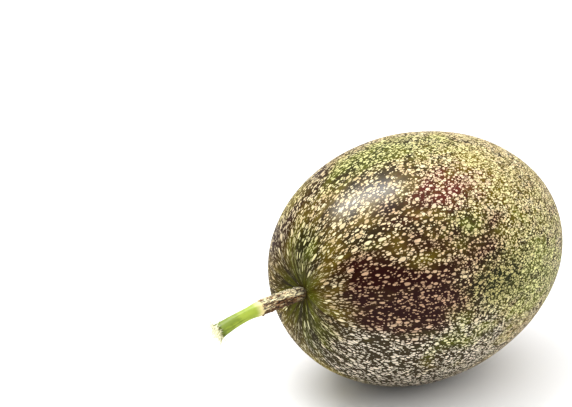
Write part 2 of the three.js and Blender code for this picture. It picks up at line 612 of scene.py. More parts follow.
@dataclass(frozen=True)
class RindFinish:
    """The waxy skin: its ground colours, its flecks, its gloss and the painted floor bounce on its
    underside.

    Sizes are in millimetres, and a span is the range of a number over which a change comes in.
    """

    deep_olive: Colour = screen_colour(42, 30, 4)
    light_olive: Colour = screen_colour(100, 80, 22)
    deep_green: Colour = screen_colour(32, 32, 3)
    fresh_green: Colour = screen_colour(78, 80, 14)
    yellow: Colour = screen_colour(102, 86, 14)
    maroon: Colour = screen_colour(34, 4, 1)
    umber: Colour = screen_colour(44, 22, 7)
    rose: Colour = screen_colour(84, 26, 18)
    # Greyer ground of the underside, a painted floor bounce.
    painted_bounce: Colour = screen_colour(52, 43, 27)
    moss: Colour = screen_colour(26, 28, 4)
    scar: Colour = screen_colour(70, 50, 28)
    fleck_on_green: Colour = screen_colour(228, 226, 156)
    fleck_cream: Colour = screen_colour(250, 236, 190)
    fleck_tan: Colour = screen_colour(242, 214, 162)
    fleck_on_yellow: Colour = screen_colour(238, 228, 164)
    fleck_on_rose: Colour = screen_colour(244, 212, 184)
    fleck_on_maroon: Colour = screen_colour(204, 166, 132)
    # Paler flecks of the underside, a painted floor bounce.
    fleck_on_painted_bounce: Colour = screen_colour(248, 236, 213)
    fleck_on_moss: Colour = screen_colour(192, 182, 114)
    fleck_on_umber: Colour = screen_colour(248, 228, 186)
    layers: tuple[FleckLayer, ...] = (
        FleckLayer(1.2, 0.34, 0.4, 0.035),
        FleckLayer(0.82, 0.35, 0.75, 0.045),
        FleckLayer(0.53, 0.36, 0.6, 0.06),
    )
    large_strength: float = 0.9
    tone_span: Pair = (0.1, 0.9)
    light_size: float = 5.0
    light_span: Pair = (0.36, 0.66)
    mottling: float = 1.4
    mottled_span: Pair = (0.1, 0.85)
    roughness: float = 0.24
    roughness_change: float = 0.16
    grain_size: float = 0.4
    sheen_blur: float = 0.29
    wax: float = 0.19
    dullness: float = 0.1
    fleck_height: float = 0.5
    lump_size: float = 0.7
    relief: float = 0.03 * MM
    relief_strength: float = 0.7

    def material(self, flecks: bpy.types.NodeTree) -> bpy.types.Material:
        """Makes the rind's material.

        Args:
            flecks: The group that scatters flecks.

        Returns:
            The material, which reads the rind's stored flow, pigments, cover, coarseness and scar.
        """
        material, graph, surface = new_material("Waxy speckled rind")
        flow = graph.stored("flow", "Vector")
        mask, tone = self.flecks(graph, flecks, flow)
        light = graph.ease(graph.cloud(flow, self.light_size, detail=4.0, rough=0.6), *self.light_span)
        ground = graph.between(light, self.deep_olive, self.light_olive)
        pale = graph.between(graph.ease(tone, *self.tone_span), self.fleck_tan, self.fleck_cream)
        fresh = graph.between(light, self.deep_green, self.fresh_green)
        for pigment, size, laid, fleck in (
            # The painted floor bounce greys and lightens the underside.
            (Pigment.PAINTED_BOUNCE, 6.0, self.painted_bounce, self.fleck_on_painted_bounce),
            (Pigment.UMBER, 4.5, self.umber, self.fleck_on_umber),
            (Pigment.GREEN, 5.0, fresh, self.fleck_on_green),
            (Pigment.YELLOW, 3.5, self.yellow, self.fleck_on_yellow),
            (Pigment.MOSS, 4.0, self.moss, self.fleck_on_moss),
            (Pigment.MAROON, 5.5, self.maroon, self.fleck_on_maroon),
            (Pigment.ROSE, 3.0, self.rose, self.fleck_on_rose),
        ):
            share = self.mottled(graph, flow, graph.stored(pigment.value), size)
            ground = graph.between(share, ground, laid)
            pale = graph.between(share, pale, fleck)
        skin = graph.between(graph.stored("scar"), graph.between(mask, ground, pale), self.scar)
        grain = graph.cloud(flow, self.grain_size, detail=2.0)
        lumps = graph.cloud(flow, self.lump_size, detail=3.0)
        height = graph.math("MULTIPLY_ADD", mask, self.fleck_height, lumps)
        smoothest = self.roughness - self.roughness_change / 2
        graph.fill(surface, {
            "Base Color": skin,
            "Roughness": graph.math("MULTIPLY_ADD", grain, self.roughness_change, smoothest),
            "Normal": graph.bump(height, self.relief, self.relief_strength),
            "Coat Weight": graph.math("MULTIPLY_ADD", graph.stored("coarse"), -self.dullness, self.wax),
        })
        surface.inputs["Coat Roughness"].default_value = self.sheen_blur
        surface.inputs["Specular IOR Level"].default_value = 0.0
        return material

    def mottled(self, graph: Graph, flow: Socket, amount: Socket, size: float) -> Socket:
        """Gives the patches of a pigment, from how much lies where, the broken edges of grown colour."""
        mottle = graph.math("SUBTRACT", graph.cloud(flow, size, detail=5.0, rough=0.6), 0.5)
        return graph.ease(graph.math("MULTIPLY_ADD", mottle, self.mottling, amount), *self.mottled_span)

    def flecks(self, graph: Graph, group: bpy.types.NodeTree, flow: Socket) -> tuple[Socket, Socket]:
        """Scatters large flecks, with middling and then fine ones in what they leave free.

        Args:
            graph: The rind's graph.
            group: The group that scatters flecks of one size.
            flow: The coordinates that the flecks follow.

        Returns:
            The mask of all flecks and the tone of the large ones.
        """
        cover = graph.stored("cover")
        large, *finer = (
            graph.use(
                group, Place=flow, Cell=layer.cell, Fill=graph.math("MULTIPLY", cover, layer.fill),
                Crowd=layer.crowd, Edge=layer.edge,
            )
            for layer in self.layers
        )
        mask = graph.math("MULTIPLY", large.outputs["Mask"], self.large_strength)
        free = graph.math("MULTIPLY", graph.rest(graph.stored("coarse")), graph.rest(large.outputs["Halo"]))
        for layer in finer:
            mask = graph.math("MAXIMUM", mask, graph.math("MULTIPLY", free, layer.outputs["Mask"]))
            free = graph.math("MULTIPLY", free, graph.rest(layer.outputs["Halo"]))
        return mask, large.outputs["Tone"]


@dataclass(frozen=True)
class RindPattern:
    """Where the flecks run and how densely they lie: lengths in millimetres, angles in degrees.

    Of a pair the second number is the width of a bell, and of a triple the last two are the span of a
    rise, which for shrinking is in shares of the way from the stem.
    """

    steps: int = 361
    stem_size: float = 0.94
    shrinking: Triple = (0.29, 0.3, 0.65)
    plain_length: float = 1.5
    drawn_out: tuple[Pair, ...] = ((1.7, 42), (0.6, 14))
    pole_circle: float = 18
    wider_middle: float = 13
    coarseness: Pair = (0.85, 15)
    most_pigment: float = 0.82
    usual_cover: float = 1.03
    # Fewer flecks round the stem: partly the rind's own bare stem end, partly painted shade round the stem
    # pit.
    bare_stem_partly_painted_shade: Pair = (0.65, 13)
    bare_on_maroon: float = 0.16
    fuller_middle: Triple = (0.22, 55, 105)
    # More flecks toward the top: partly the rind's own denser flecks, partly painted top light.
    fuller_top_partly_painted_light: float = 0.07
    full_side: float = 100
    # More flecks under the painted floor bounce, which lightens the underside further.
    fuller_on_painted_bounce: float = 0.08
    barer_end: Triple = (0.2, 118, 150)
    stem_scar: Pair = (0.8, 2.2)
    blossom_scar: Pair = (1.0, 1.5)

    def size(self, run: np.ndarray) -> np.ndarray:
        """Gives how large the flecks are at each length of the way from the stem."""
        amount, low, high = self.shrinking
        return self.stem_size - amount * ease(run / run[-1], low, high)

    def length(self, run: np.ndarray) -> np.ndarray:
        """Gives how far the flecks are drawn out at each length of the way from the stem."""
        return self.plain_length + sum(amount * bell(run, width) for amount, width in self.drawn_out)

    def circle(self, distances: np.ndarray) -> np.ndarray:
        """Gives the radius of the circle that the flow goes round, for rows this far from the axis."""
        return self.pole_circle + self.wider_middle * (distances / distances.max()) ** 2

    def coarse(self, run: np.ndarray) -> np.ndarray:
        """Gives how far the finer flecks are left out at each length of the way from the stem."""
        amount, width = self.coarseness
        return amount * bell(run, width)

    def cover(
        self, polar: np.ndarray, angle: np.ndarray, pigments: dict[Pigment, np.ndarray]
    ) -> np.ndarray:
        """Gives how full of flecks each place is.

        Args:
            polar: The angle of each place from the stem, in radians.
            angle: The angle of each place round the axis, in radians.
            pigments: How much of each pigment lies at each place.

        Returns:
            The cover of each place, about 1 on average.
        """
        away = np.degrees(polar)
        maroon, painted_bounce = (np.minimum(pigments[kind], 1) for kind in (Pigment.MAROON, Pigment.PAINTED_BOUNCE))
        (bare, width), (fuller, *middle), (barer, *end) = self.bare_stem_partly_painted_shade, self.fuller_middle, self.barer_end
        # Barer round the stem, partly painted shade round the pit; barer on maroon and toward the blossom
        # end.
        bared = bare * bell(away, width) + self.bare_on_maroon * maroon + barer * ease(away, *end)
        # More flecks toward the top, partly painted top light.
        side = self.fuller_top_partly_painted_light * np.cos(angle - math.radians(self.full_side))
        # More flecks under the painted floor bounce.
        return self.usual_cover - bared + fuller * ease(away, *middle) + side + self.fuller_on_painted_bounce * painted_bounce

    def scar(self, polar: np.ndarray, from_axis: np.ndarray) -> np.ndarray:
        """Gives how brown the stem pit and the style scar are at each place."""
        pit, style = (most * bell(from_axis, width) for most, width in (self.stem_scar, self.blossom_scar))
        return np.where(polar < math.pi / 2, pit, style)


@dataclass
class Rind:
    """The fruit's body: a long round form with a blunt stem end, a pit, folds and a style scar.

    The oval and the lobes have a size, a number of sides and the angle of a crest in degrees. The dimple,
    the pit, the ring and the scar have a depth or height and the width of a bell.
    """

    equator_radius: float = 31 * MM
    half_length: float = 40.3 * MM
    stem_fullness: float = 0.035
    flat_depth: float = 0.6 * MM
    oval: tuple[float, int, float] = (-0.0225, 2, 19)
    lobes: tuple[float, int, float] = (0.0115, 3, 25)
    dimple: Pair = (3.9 * MM, 9 * MM)
    pit: Pair = (0.7 * MM, 2.8 * MM)
    fold_depth: float = 0.16 * MM
    fold_count: int = 9
    fold_uneven: float = 0.8
    fold_radius: float = 4.2 * MM
    fold_width: float = 2.4 * MM
    blossom_ring: Pair = (0.45 * MM, 4 * MM)
    style_scar: Pair = (0.75 * MM, 1.1 * MM)
    lump_height: float = 0.12 * MM
    lump_size: float = 11 * MM
    segments: int = 144
    rows: int = 88
    crowding: float = 0.6
    patches: tuple[Patch, ...] = (
        Patch(Pigment.MAROON, 56, 168, 29, 31, 0.14),
        Patch(Pigment.MAROON, 37, 147, 12, 18, 0.6),
        Patch(Pigment.MAROON, 43, 164, 12, 18, 0.72),
        Patch(Pigment.MAROON, 46, 180, 12, 16, 0.68),
        Patch(Pigment.MAROON, 55, 173, 12, 14, 0.54),
        Patch(Pigment.MAROON, 63, 177, 12, 13, 0.58),
        Patch(Pigment.MAROON, 65, 163, 10, 11, 0.25),
        Patch(Pigment.MAROON, 67, 149, 8, 8, 0.47),
        Patch(Pigment.MAROON, 57, 150, 8, 7, 0.29),
        Patch(Pigment.MAROON, 83, 157, 13, 12, 0.5),
        Patch(Pigment.MAROON, 92, 146, 11, 10, 0.25),
        Patch(Pigment.MAROON, 66, 132, 12, 11, 0.32),
        Patch(Pigment.MAROON, 56, 122, 8, 7, 0.36),
        Patch(Pigment.MAROON, 64, 152, 8, 5, -0.5),
        Patch(Pigment.UMBER, 44, 56, 20, 20, 0.85),
        Patch(Pigment.UMBER, 30, 38, 12, 26, 0.65),
        Patch(Pigment.UMBER, 62, 122, 12, 10, 0.5),
        Patch(Pigment.UMBER, 34, 150, 10, 22, 0.45),
        Patch(Pigment.UMBER, 72, 166, 17, 18, 0.55),
        Patch(Pigment.UMBER, 54, 142, 14, 14, 0.45),
        Patch(Pigment.ROSE, 85, 125, 15, 12, 0.58),
        Patch(Pigment.ROSE, 72, 125, 10, 9, 0.36),
        Patch(Pigment.YELLOW, 108, 140, 34, 42, 0.2),
        Patch(Pigment.YELLOW, 80, 100, 26, 22, 0.2),
        Patch(Pigment.YELLOW, 98, 113, 10, 9, 0.55),
        Patch(Pigment.YELLOW, 102, 130, 10, 8, 0.4),
        Patch(Pigment.YELLOW, 62, 118, 6, 6, 0.5),
        Patch(Pigment.YELLOW, 64, 152, 9, 5, 0.6),
        Patch(Pigment.GREEN, 116, 160, 34, 60, 0.4),
        Patch(Pigment.GREEN, 60, 82, 17, 15, 0.6),
        Patch(Pigment.GREEN, 76, 88, 16, 15, 0.5),
        Patch(Pigment.GREEN, 92, 98, 17, 15, 0.4),
        Patch(Pigment.GREEN, 24, 96, 10, 26, 0.7),
        Patch(Pigment.GREEN, 43, 134, 6, 7, 0.55),
        Patch(Pigment.GREEN, 80, 144, 9, 8, 0.6),
        Patch(Pigment.GREEN, 106, 178, 22, 20, 0.45),
        Patch(Pigment.GREEN, 72, -162, 14, 13, 0.4),
        Patch(Pigment.GREEN, 22, -135, 10, 34, 0.5),
        Patch(Pigment.GREEN, 0, 0, 17, ALL_ROUND, 0.8),
        Patch(Pigment.MOSS, 84, 173, 15, 14, 0.7),
        Patch(Pigment.MOSS, 97, 168, 13, 12, 0.35),
        # Painted floor bounce over the underside.
        Patch(Pigment.PAINTED_BOUNCE, 62, -158, 30, 22, 1.0),
        Patch(Pigment.PAINTED_BOUNCE, 62, -105, 70, 46, 1.0),
    )
    hidden: DrawnPatches = DrawnPatches(26, (35, 140), (-95, 50), (9, 20), (11, 24), (0.4, 0.9))
    blossom_end: DrawnPatches = DrawnPatches(12, (132, 165), (-180, 180), (8, 15), (20, 44), (0.4, 0.8))
    seed: int = 11
    probes: int = 181
    pattern: RindPattern = field(default_factory=RindPattern)
    finish: RindFinish = field(default_factory=RindFinish)

    def stem_relief(self, distance: Numbers) -> Numbers:
        """Gives how far the dimple and the pit draw the rind in, at a distance from the axis."""
        return sum(depth * bell(distance, width) for depth, width in (self.dimple, self.pit))

    def blossom_relief(self, distance: Numbers) -> Numbers:
        """Gives the relief of the blossom end: the style scar within its shallow ring."""
        (ring, ring_width), (height, width) = self.blossom_ring, self.style_scar
        return height * bell(distance, width) - ring * bell(distance, ring_width)

    def row_at(self, polar: float) -> Pair:
        """Works out one row of the rind.

        Args:
            polar: The row's angle from the stem, in radians.

        Returns:
            The row's place along the axis and its distance from it.
        """
        toward_stem = math.cos(polar)
        distance = self.equator_radius * math.sin(polar) * (1 + self.stem_fullness * toward_stem)
        relief = self.stem_relief(distance) if toward_stem > 0 else self.blossom_relief(distance)
        return relief - self.half_length * toward_stem, distance

    def crowded(self, even: Numbers) -> Numbers:
        """Moves evenly spaced rows closer together near the poles."""
        return even - self.crowding / 2 * np.sin(2 * even)

    def section(self, polar: np.ndarray, angle: np.ndarray) -> np.ndarray:
        """Works out how far the oval and the lobes take the section from a round one.

        Args:
            polar: The angle of each place from the stem, in radians.
            angle: The angle of each place round the axis, in radians.

        Returns:
            How many times as far from the axis each place is as on a round section.
        """
        forms = (self.oval, self.lobes)
        waves = [size * np.cos(sides * (angle - math.radians(crest))) for size, sides, crest in forms]
        return 1 + np.sin(polar) ** 2 * sum(waves)

    def build(self) -> Piece:
        """Models the rind.

        Returns:
            The finished piece, with what its material reads stored in its mesh.
        """
        clear_selection()
        bpy.ops.mesh.primitive_uv_sphere_add(
            segments=self.segments, ring_count=self.rows, radius=self.equator_radius,
            rotation=(0, -math.pi / 2, 0),
        )
        piece = new_piece("speckled_rind")
        corners = corners_of(piece) / self.equator_radius
        even = np.arccos(np.clip(-corners[:, 0], -1, 1))
        angle = np.arctan2(corners[:, 2], corners[:, 1])
        self.shape_rows(piece, np.rint(even / math.pi * self.rows).astype(int))
        polar = self.crowded(even)
        self.swell(piece, polar, angle)
        self.store_pattern(piece, polar, angle)
        smooth_finely(piece, levels=1)
        self.settle(piece)
        return piece

    def shape_rows(self, piece: Piece, row_of: np.ndarray) -> None:
        """Draws each row of the sphere to its place and width on the fruit.

        Args:
            piece: The sphere, with its poles on the long axis.
            row_of: The number of the row that each corner is in.
        """
        with editing(piece) as opened:
            opened.verts.ensure_lookup_table()
            for number in range(self.rows + 1):
                even = math.pi * number / self.rows
                place, distance = self.row_at(float(self.crowded(even)))
                pick(opened, [opened.verts[i] for i in np.flatnonzero(row_of == number)])
                at_pole = number in (0, self.rows)
                share = 1.0 if at_pole else distance / (self.equator_radius * math.sin(even))
                bpy.ops.transform.resize(value=(1, share, share), center_override=(0, 0, 0))
                shift = place + self.equator_radius * math.cos(even)
                bpy.ops.transform.translate(value=(shift, 0, 0))

    def swell(self, piece: Piece, polar: np.ndarray, angle: np.ndarray) -> None:
        """Gives the round form its oval and lobed section, the folds of the stem end and slight lumps.

        Args:
            piece: The rind, with its rows in place.
            polar: The angle of each corner from the stem, in radians.
            angle: The angle of each corner round the axis, in radians.
        """
        corners = corners_of(piece)
        distance = np.hypot(corners[:, 1], corners[:, 2])
        corners[:, 1:] *= self.section(polar, angle)[:, None]
        crease = np.cos(self.fold_count * angle + self.fold_uneven * np.sin(2 * angle))
        folds = self.fold_depth * crease * bell(distance - self.fold_radius, self.fold_width)
        corners[:, 0] += np.where(polar < math.pi / 2, folds, 0)
        outward = corners / np.linalg.norm(corners, axis=1)[:, None]
        lumps = np.array([noise.noise(Vector(corner) / self.lump_size) for corner in corners])
        corners += outward * (self.lump_height * lumps * np.sin(polar))[:, None]
        set_corners(piece, corners)

    def store_pattern(self, piece: Piece, polar: np.ndarray, angle: np.ndarray) -> None:
        """Stores where the pattern runs, which pigments lie where, and how full of flecks each place is.

        The flow is in millimetres: its first number runs from pole to pole, slower where flecks are drawn
        out, and the others go round the axis on a circle that stays wide at the poles, so that flecks
        narrow to rays there.

        Args:
            piece: The rind to store it in.
            polar: The angle of each corner from the stem, in radians.
            angle: The angle of each corner round the axis, in radians.
        """
        steps = np.linspace(0, math.pi, self.pattern.steps)
        places, distances = np.array([self.row_at(float(step)) for step in steps]).T / MM
        run = added_up(np.hypot(np.diff(places), np.diff(distances)))
        size = self.pattern.size(run)
        pace = 1 / (size * self.pattern.length(run))
        passed = added_up(np.diff(run) * (pace[1:] + pace[:-1]) / 2)
        circle = np.interp(polar, steps, self.pattern.circle(distances) / size)
        flow = (np.interp(polar, steps, passed), circle * np.cos(angle), circle * np.sin(angle))
        store(piece, "flow", np.stack(flow, axis=1))
        pigments = {pigment: np.zeros(len(polar)) for pigment in Pigment}
        for patch in self.all_patches():
            pigments[patch.pigment] += patch.laid_on(polar, angle)
        for pigment, amount in pigments.items():
            store(piece, pigment.value, np.minimum(amount, self.pattern.most_pigment))
        store(piece, "cover", self.pattern.cover(polar, angle, pigments))
        store(piece, "coarse", np.interp(polar, steps, self.pattern.coarse(run)))
        store(piece, "scar", self.pattern.scar(polar, np.interp(polar, steps, distances)))

    def all_patches(self) -> tuple[Patch, ...]:
        """Adds patches for the side that faces away and for the blossom end, drawn with a fixed seed."""
        draw = random.Random(self.seed)
        return self.patches + self.hidden.drawn(draw) + self.blossom_end.drawn(draw)

    def settle(self, piece: Piece) -> None:
        """Lifts the rind to its height and cuts the small flat spot that it rests on.

        Args:
            piece: The shaped rind, with its axis at no height.
        """
        corners = corners_of(piece)
        corners[:, 2] += self.axis_height
        set_corners(piece, corners)
        with editing(piece):
            bpy.ops.mesh.select_all(action="SELECT")
            bpy.ops.mesh.bisect(
                plane_co=(0, 0, 0), plane_no=(0, 0, 1), use_fill=True, clear_inner=True, threshold=1e-7
            )
        shade(piece, sharpest=40)

    @property
    def axis_height(self) -> float:
        """Works out how deep the fruit hangs below its axis.

        Returns:
            The height of the axis above what the fruit rests on.
        """
        polar = np.linspace(0, math.pi, self.probes)[:, None]
        angle = np.linspace(-math.pi, 0, self.probes)[None, :]
        distance = self.equator_radius * np.sin(polar) * (1 + self.stem_fullness * np.cos(polar))
        lowest = (distance * self.section(polar, angle) * np.sin(angle)).min()
        return -float(lowest) - self.flat_depth

    @property
    def stem_pole(self) -> float:
        """Where the bottom of the stem pit is along the axis."""
        return self.row_at(0.0)[0]


@dataclass(frozen=True)
class BarkFinish:
    """The dry corky bark: pale flakes with dark cracks between them, painted top light above, painted shade
    in the hollows and underneath, and greyer at its foot.

    Widths are in millimetres, and a span is the range of a number over which a change comes in.
    """

    # Dark cracks, and painted shade in the hollows.
    crack_and_hollow_shade: Colour = screen_colour(54, 34, 17)
    brown: Colour = screen_colour(158, 112, 66)
    shaded: Colour = screen_colour(116, 86, 54)
    tan: Colour = screen_colour(208, 168, 118)
    # The flakes' colour under painted top light.
    straw: Colour = screen_colour(250, 236, 188)
    rose: Colour = screen_colour(212, 170, 146)
    grey: Colour = screen_colour(120, 112, 78)
    streak_width: float = 0.2
    streak_stretch: float = 5.0
    streak_relief: float = 0.8
    flake_width: float = 0.55
    flake_stretch: float = 5.0
    raggedness: Triple = (2.6, 3.0, 0.9)
    crack_span: Pair = (0.02, 0.14)
    painted_top_light: float = 0.35
    straw_span: Pair = (0.2, 0.6)
    rose_span: Pair = (0.1, -0.1)
    plate_span: Pair = (0.16, 0.4)
    foot_span: Pair = (0.04, 0.3)
    under_span: Pair = (-0.1, -1.2)
    under_shade: float = 0.9
    less_shade_at_foot: float = 0.5
    grey_at_foot: float = 0.5
    hollow_shade_span: Pair = (-0.02, 0.16)
    crack_darkness: float = 0.95
    crack_depth: float = 1.2
    roughness: float = 0.85
    relief: float = 0.12 * MM
    relief_strength: float = 0.9

    def material(self, grain: bpy.types.NodeTree) -> bpy.types.Material:
        """Makes the bark's material.

        Args:
            grain: The group that draws streaks along a stalk.

        Returns:
            The material, which reads the stored rod and relief.
        """
        material, graph, surface = new_material("Dry corky bark")
        rod = graph.stored("rod", "Vector")
        relief, along, _ = graph.parts(graph.stored("relief", "Vector"))
        height_round = graph.parts(rod)[2]
        placed = graph.use(grain, Place=rod, Width=self.streak_width, Stretch=self.streak_stretch)
        streak = placed.outputs["Streak"]
        crack, tint = self.flakes(graph, rod)
        fine = graph.math("MULTIPLY_ADD", streak, self.streak_relief, -self.streak_relief / 2)
        lifted = graph.math("ADD", relief, fine)
        # Flakes turn from tan to straw toward the top as painted top light, with a random tint for each
        # flake; rose where it is lowest.
        lit_above_and_tint = graph.math("MULTIPLY_ADD", height_round, self.painted_top_light, tint)
        flake = graph.between(graph.ease(lit_above_and_tint, *self.straw_span), self.tan, self.straw)
        flake = graph.between(graph.ease(lit_above_and_tint, *self.rose_span), flake, self.rose)
        flake = graph.between(graph.ease(lifted, *self.plate_span), self.brown, flake)
        foot = graph.rest(graph.ease(along, *self.foot_span))
        # Painted shade underneath, less of it at the foot.
        most = graph.math("MULTIPLY_ADD", foot, -self.less_shade_at_foot, self.under_shade)
        painted_shade_below = graph.math("MULTIPLY", graph.ease(height_round, *self.under_span), most)
        flake = graph.between(painted_shade_below, flake, self.shaded)
        flake = graph.between(graph.math("MULTIPLY", foot, self.grey_at_foot), flake, self.grey)
        # Painted shade in the hollows of the relief, joined with the dark cracks.
        hollow = graph.rest(graph.ease(lifted, *self.hollow_shade_span))
        dark = graph.math("MAXIMUM", hollow, graph.math("MULTIPLY", crack, self.crack_darkness))
        height = graph.math("MULTIPLY_ADD", crack, -self.crack_depth, streak)
        graph.fill(surface, {
            "Base Color": graph.between(dark, flake, self.crack_and_hollow_shade),
            "Roughness": self.roughness,
            "Normal": graph.bump(height, self.relief, self.relief_strength),
        })
        return material

    def flakes(self, graph: Graph, rod: Socket) -> tuple[Socket, Socket]:
        """Breaks the bark into long flakes.

        Args:
            graph: The bark's graph.
            rod: The straight coordinates of the stalk, in millimetres.

        Returns:
            The cracks between the flakes, and a random tint for each flake.
        """
        place = graph.vector("SCALE", graph.drawn_out(rod, self.flake_stretch), 1 / self.flake_width)
        _, border, colour = graph.ragged_cells(place, *self.raggedness)
        return graph.rest(graph.ease(border, *self.crack_span)), graph.parts(colour)[0]


@dataclass(frozen=True)
class StemFinish:
    """The fresh green stem: bright, faintly streaked, pale at its joint and with painted shade at its torn
    end.

    Widths are in millimetres, and a span is the range of a number over which a change comes in.
    """

    bright: Colour = screen_colour(154, 172, 56)
    deep: Colour = screen_colour(116, 134, 36)
    pale: Colour = screen_colour(232, 216, 158)
    # Painted shade at the torn end.
    painted_end_shade: Colour = screen_colour(78, 92, 34)
    streak_width: float = 0.42
    streak_stretch: float = 16.0
    streak_share: float = 0.55
    cloud_size: float = 2.0
    cloud_share: float = 0.45
    brighter: float = 0.08
    deeper_along: float = 0.26
    bright_span: Pair = (0.32, 0.54)
    joint_uneven: float = 0.14
    joint_span: Pair = (0.1, 0.3)
    torn_uneven: float = 0.2
    torn_span: Pair = (1.0, 1.1)
    end_shade_share: float = 0.5
    roughness: float = 0.46
    shine: float = 0.25
    relief: float = 0.05 * MM
    relief_strength: float = 0.5

    def material(self, grain: bpy.types.NodeTree) -> bpy.types.Material:
        """Makes the stem's material.

        Args:
            grain: The group that draws streaks along a stalk.

        Returns:
            The material, which reads the stored rod and relief.
        """
        material, graph, surface = new_material("Fresh green stem")
        rod = graph.stored("rod", "Vector")
        _, along, _ = graph.parts(graph.stored("relief", "Vector"))
        placed = graph.use(grain, Place=rod, Width=self.streak_width, Stretch=self.streak_stretch)
        streak = placed.outputs["Streak"]
        cloud = graph.cloud(rod, self.cloud_size)
        clouded = graph.math("MULTIPLY_ADD", cloud, self.cloud_share, self.brighter)
        mixed = graph.math("MULTIPLY_ADD", streak, self.streak_share, clouded)
        mixed = graph.math("MULTIPLY_ADD", along, -self.deeper_along, mixed)
        green = graph.between(graph.ease(mixed, *self.bright_span), self.deep, self.bright)
        from_joint = graph.math("MULTIPLY_ADD", streak, self.joint_uneven, along)
        green = graph.between(graph.rest(graph.ease(from_joint, *self.joint_span)), green, self.pale)
        # Painted shade toward the torn end.
        toward_end = graph.math("MULTIPLY_ADD", cloud, self.torn_uneven, along)
        torn = graph.math("MULTIPLY", graph.ease(toward_end, *self.torn_span), self.end_shade_share)
        graph.fill(surface, {
            "Base Color": graph.between(torn, green, self.painted_end_shade),
            "Roughness": self.roughness,
            "Specular IOR Level": self.shine,
            "Normal": graph.bump(streak, self.relief, self.relief_strength),
        })
        return material


@dataclass(frozen=True)
class PithFinish:
    """The pale fibrous pith of the torn end, darker and greener toward its roots, partly its own green and
    partly painted shade between the fibres.
    """

    cream: Colour = screen_colour(248, 246, 216)
    straw: Colour = screen_colour(204, 198, 140)
    root: Colour = screen_colour(140, 140, 76)
    streak_width: float = 0.15
    streak_stretch: float = 4.0
    cream_span: Pair = (0.3, 0.5)
    root_uneven: float = 0.9
    root_span: Pair = (0.5, 1.3)
    roughness: float = 0.8
    relief: float = 0.08 * MM
    relief_strength: float = 0.6

    def material(self, grain: bpy.types.NodeTree) -> bpy.types.Material:
        """Makes the pith's material.

        Args:
            grain: The group that draws streaks along a stalk.

        Returns:
            The material, which reads the stored rod.
        """
        material, graph, surface = new_material("Torn pale pith")
        rod = graph.stored("rod", "Vector")
        placed = graph.use(grain, Place=rod, Width=self.streak_width, Stretch=self.streak_stretch)
        streak = placed.outputs["Streak"]
        fibre = graph.between(graph.ease(streak, *self.cream_span), self.straw, self.cream)
        # Darker and greener toward the roots: partly the pith's own green, partly painted shade between the
        # fibres.
        height = graph.math("MULTIPLY_ADD", streak, self.root_uneven, graph.parts(rod)[0])
        graph.fill(surface, {
            "Base Color": graph.between(graph.ease(height, *self.root_span), self.root, fibre),
            "Roughness": self.roughness,
            "Normal": graph.bump(streak, self.relief, self.relief_strength),
        })
        return material


@dataclass
class Bend:
    """The line of a stretch of the stalk: one even arc from start to end, in the XZ plane."""

    start: Vector
    end: Vector
    sag: float

    def point(self, along: float) -> Vector:
        """Gives the place at a share of the way."""
        return self.start.lerp(self.end, along) + Vector((0, 0, 4 * self.sag * along * (1 - along)))

    def tangent(self, along: float) -> Vector:
        """Gives the direction at a share of the way."""
        slope = self.end - self.start + Vector((0, 0, 4 * self.sag * (1 - 2 * along)))
        return slope.normalized()

    def across(self, along: float) -> tuple[Vector, Vector]:
        """Gives the sideways and the upward direction at a share of the way."""
        side = Vector((0, 1, 0))
        return side, side.cross(self.tangent(along))


@dataclass
class Rod:
    """A stretch of stalk: a cylinder drawn along its bend, with a relief all over it.

    surface takes a place along it, 0 to 1, and a turn round it, and gives its distance from the middle, how
    far its end is drawn out, and its relief, 0 to 1.
    """

    name: str
    bend: Bend
    around: int
    along: int
    surface: Surface
    end_rings: int = 5
    ring_width: float = 0.17

    def build(self) -> Piece:
        """Models the rod.

        Returns:
            The piece, with its straight rod coordinates in millimetres and its relief stored.
        """
        clear_selection()
        bpy.ops.mesh.primitive_cylinder_add(vertices=self.around, radius=1, depth=1, location=(0, 0, 0.5))
        piece = new_piece(self.name)
        slice_up(piece, self.along - 1)
        self.close_ends(piece)
        self.draw_along(piece)
        shade(piece, sharpest=60)
        return piece

    def close_ends(self, piece: Piece) -> None:
        """Insets the end faces again and again, so that they can be hollow and ragged.

        Args:
            piece: The straight cylinder.
        """
        with editing(piece, "FACE") as opened:
            for height in (0.0, 1.0):
                bpy.ops.mesh.select_all(action="DESELECT")
                for face in opened.faces:
                    if all(abs(corner.co.z - height) < TOUCHING for corner in face.verts):
                        face.select_set(True)
                for _ in range(self.end_rings):
                    bpy.ops.mesh.inset(thickness=self.ring_width)
                bpy.ops.mesh.poke()
                opened = bmesh.from_edit_mesh(piece.data)

    def draw_along(self, piece: Piece) -> None:
        """Moves every corner of the straight cylinder to its place on the bend, and stores where it was.

        Args:
            piece: The straight cylinder.
        """
        length = (self.bend.end - self.bend.start).length
        placed, rods, reliefs = [], [], []
        for x, y, height in corners_of(piece):
            share = min(1.0, math.hypot(x, y))
            turn = math.atan2(x, y) if share > TOUCHING else 0.0
            reach, slip, level = (float(value) for value in self.surface(height, turn))
            along = height + slip / length * (share if height > 0.5 else 0)
            side, up = self.bend.across(min(max(along, 0), 1))
            sideways, upward = reach * share * math.cos(turn), reach * share * math.sin(turn)
            placed.append(self.bend.point(along) + sideways * side + upward * up)
            rods.append((along * length / MM, sideways / MM, upward / MM))
            reliefs.append((level, along, share))
        set_corners(piece, np.array(placed))
        store(piece, "rod", np.array(rods))
        store(piece, "relief", np.array(reliefs))


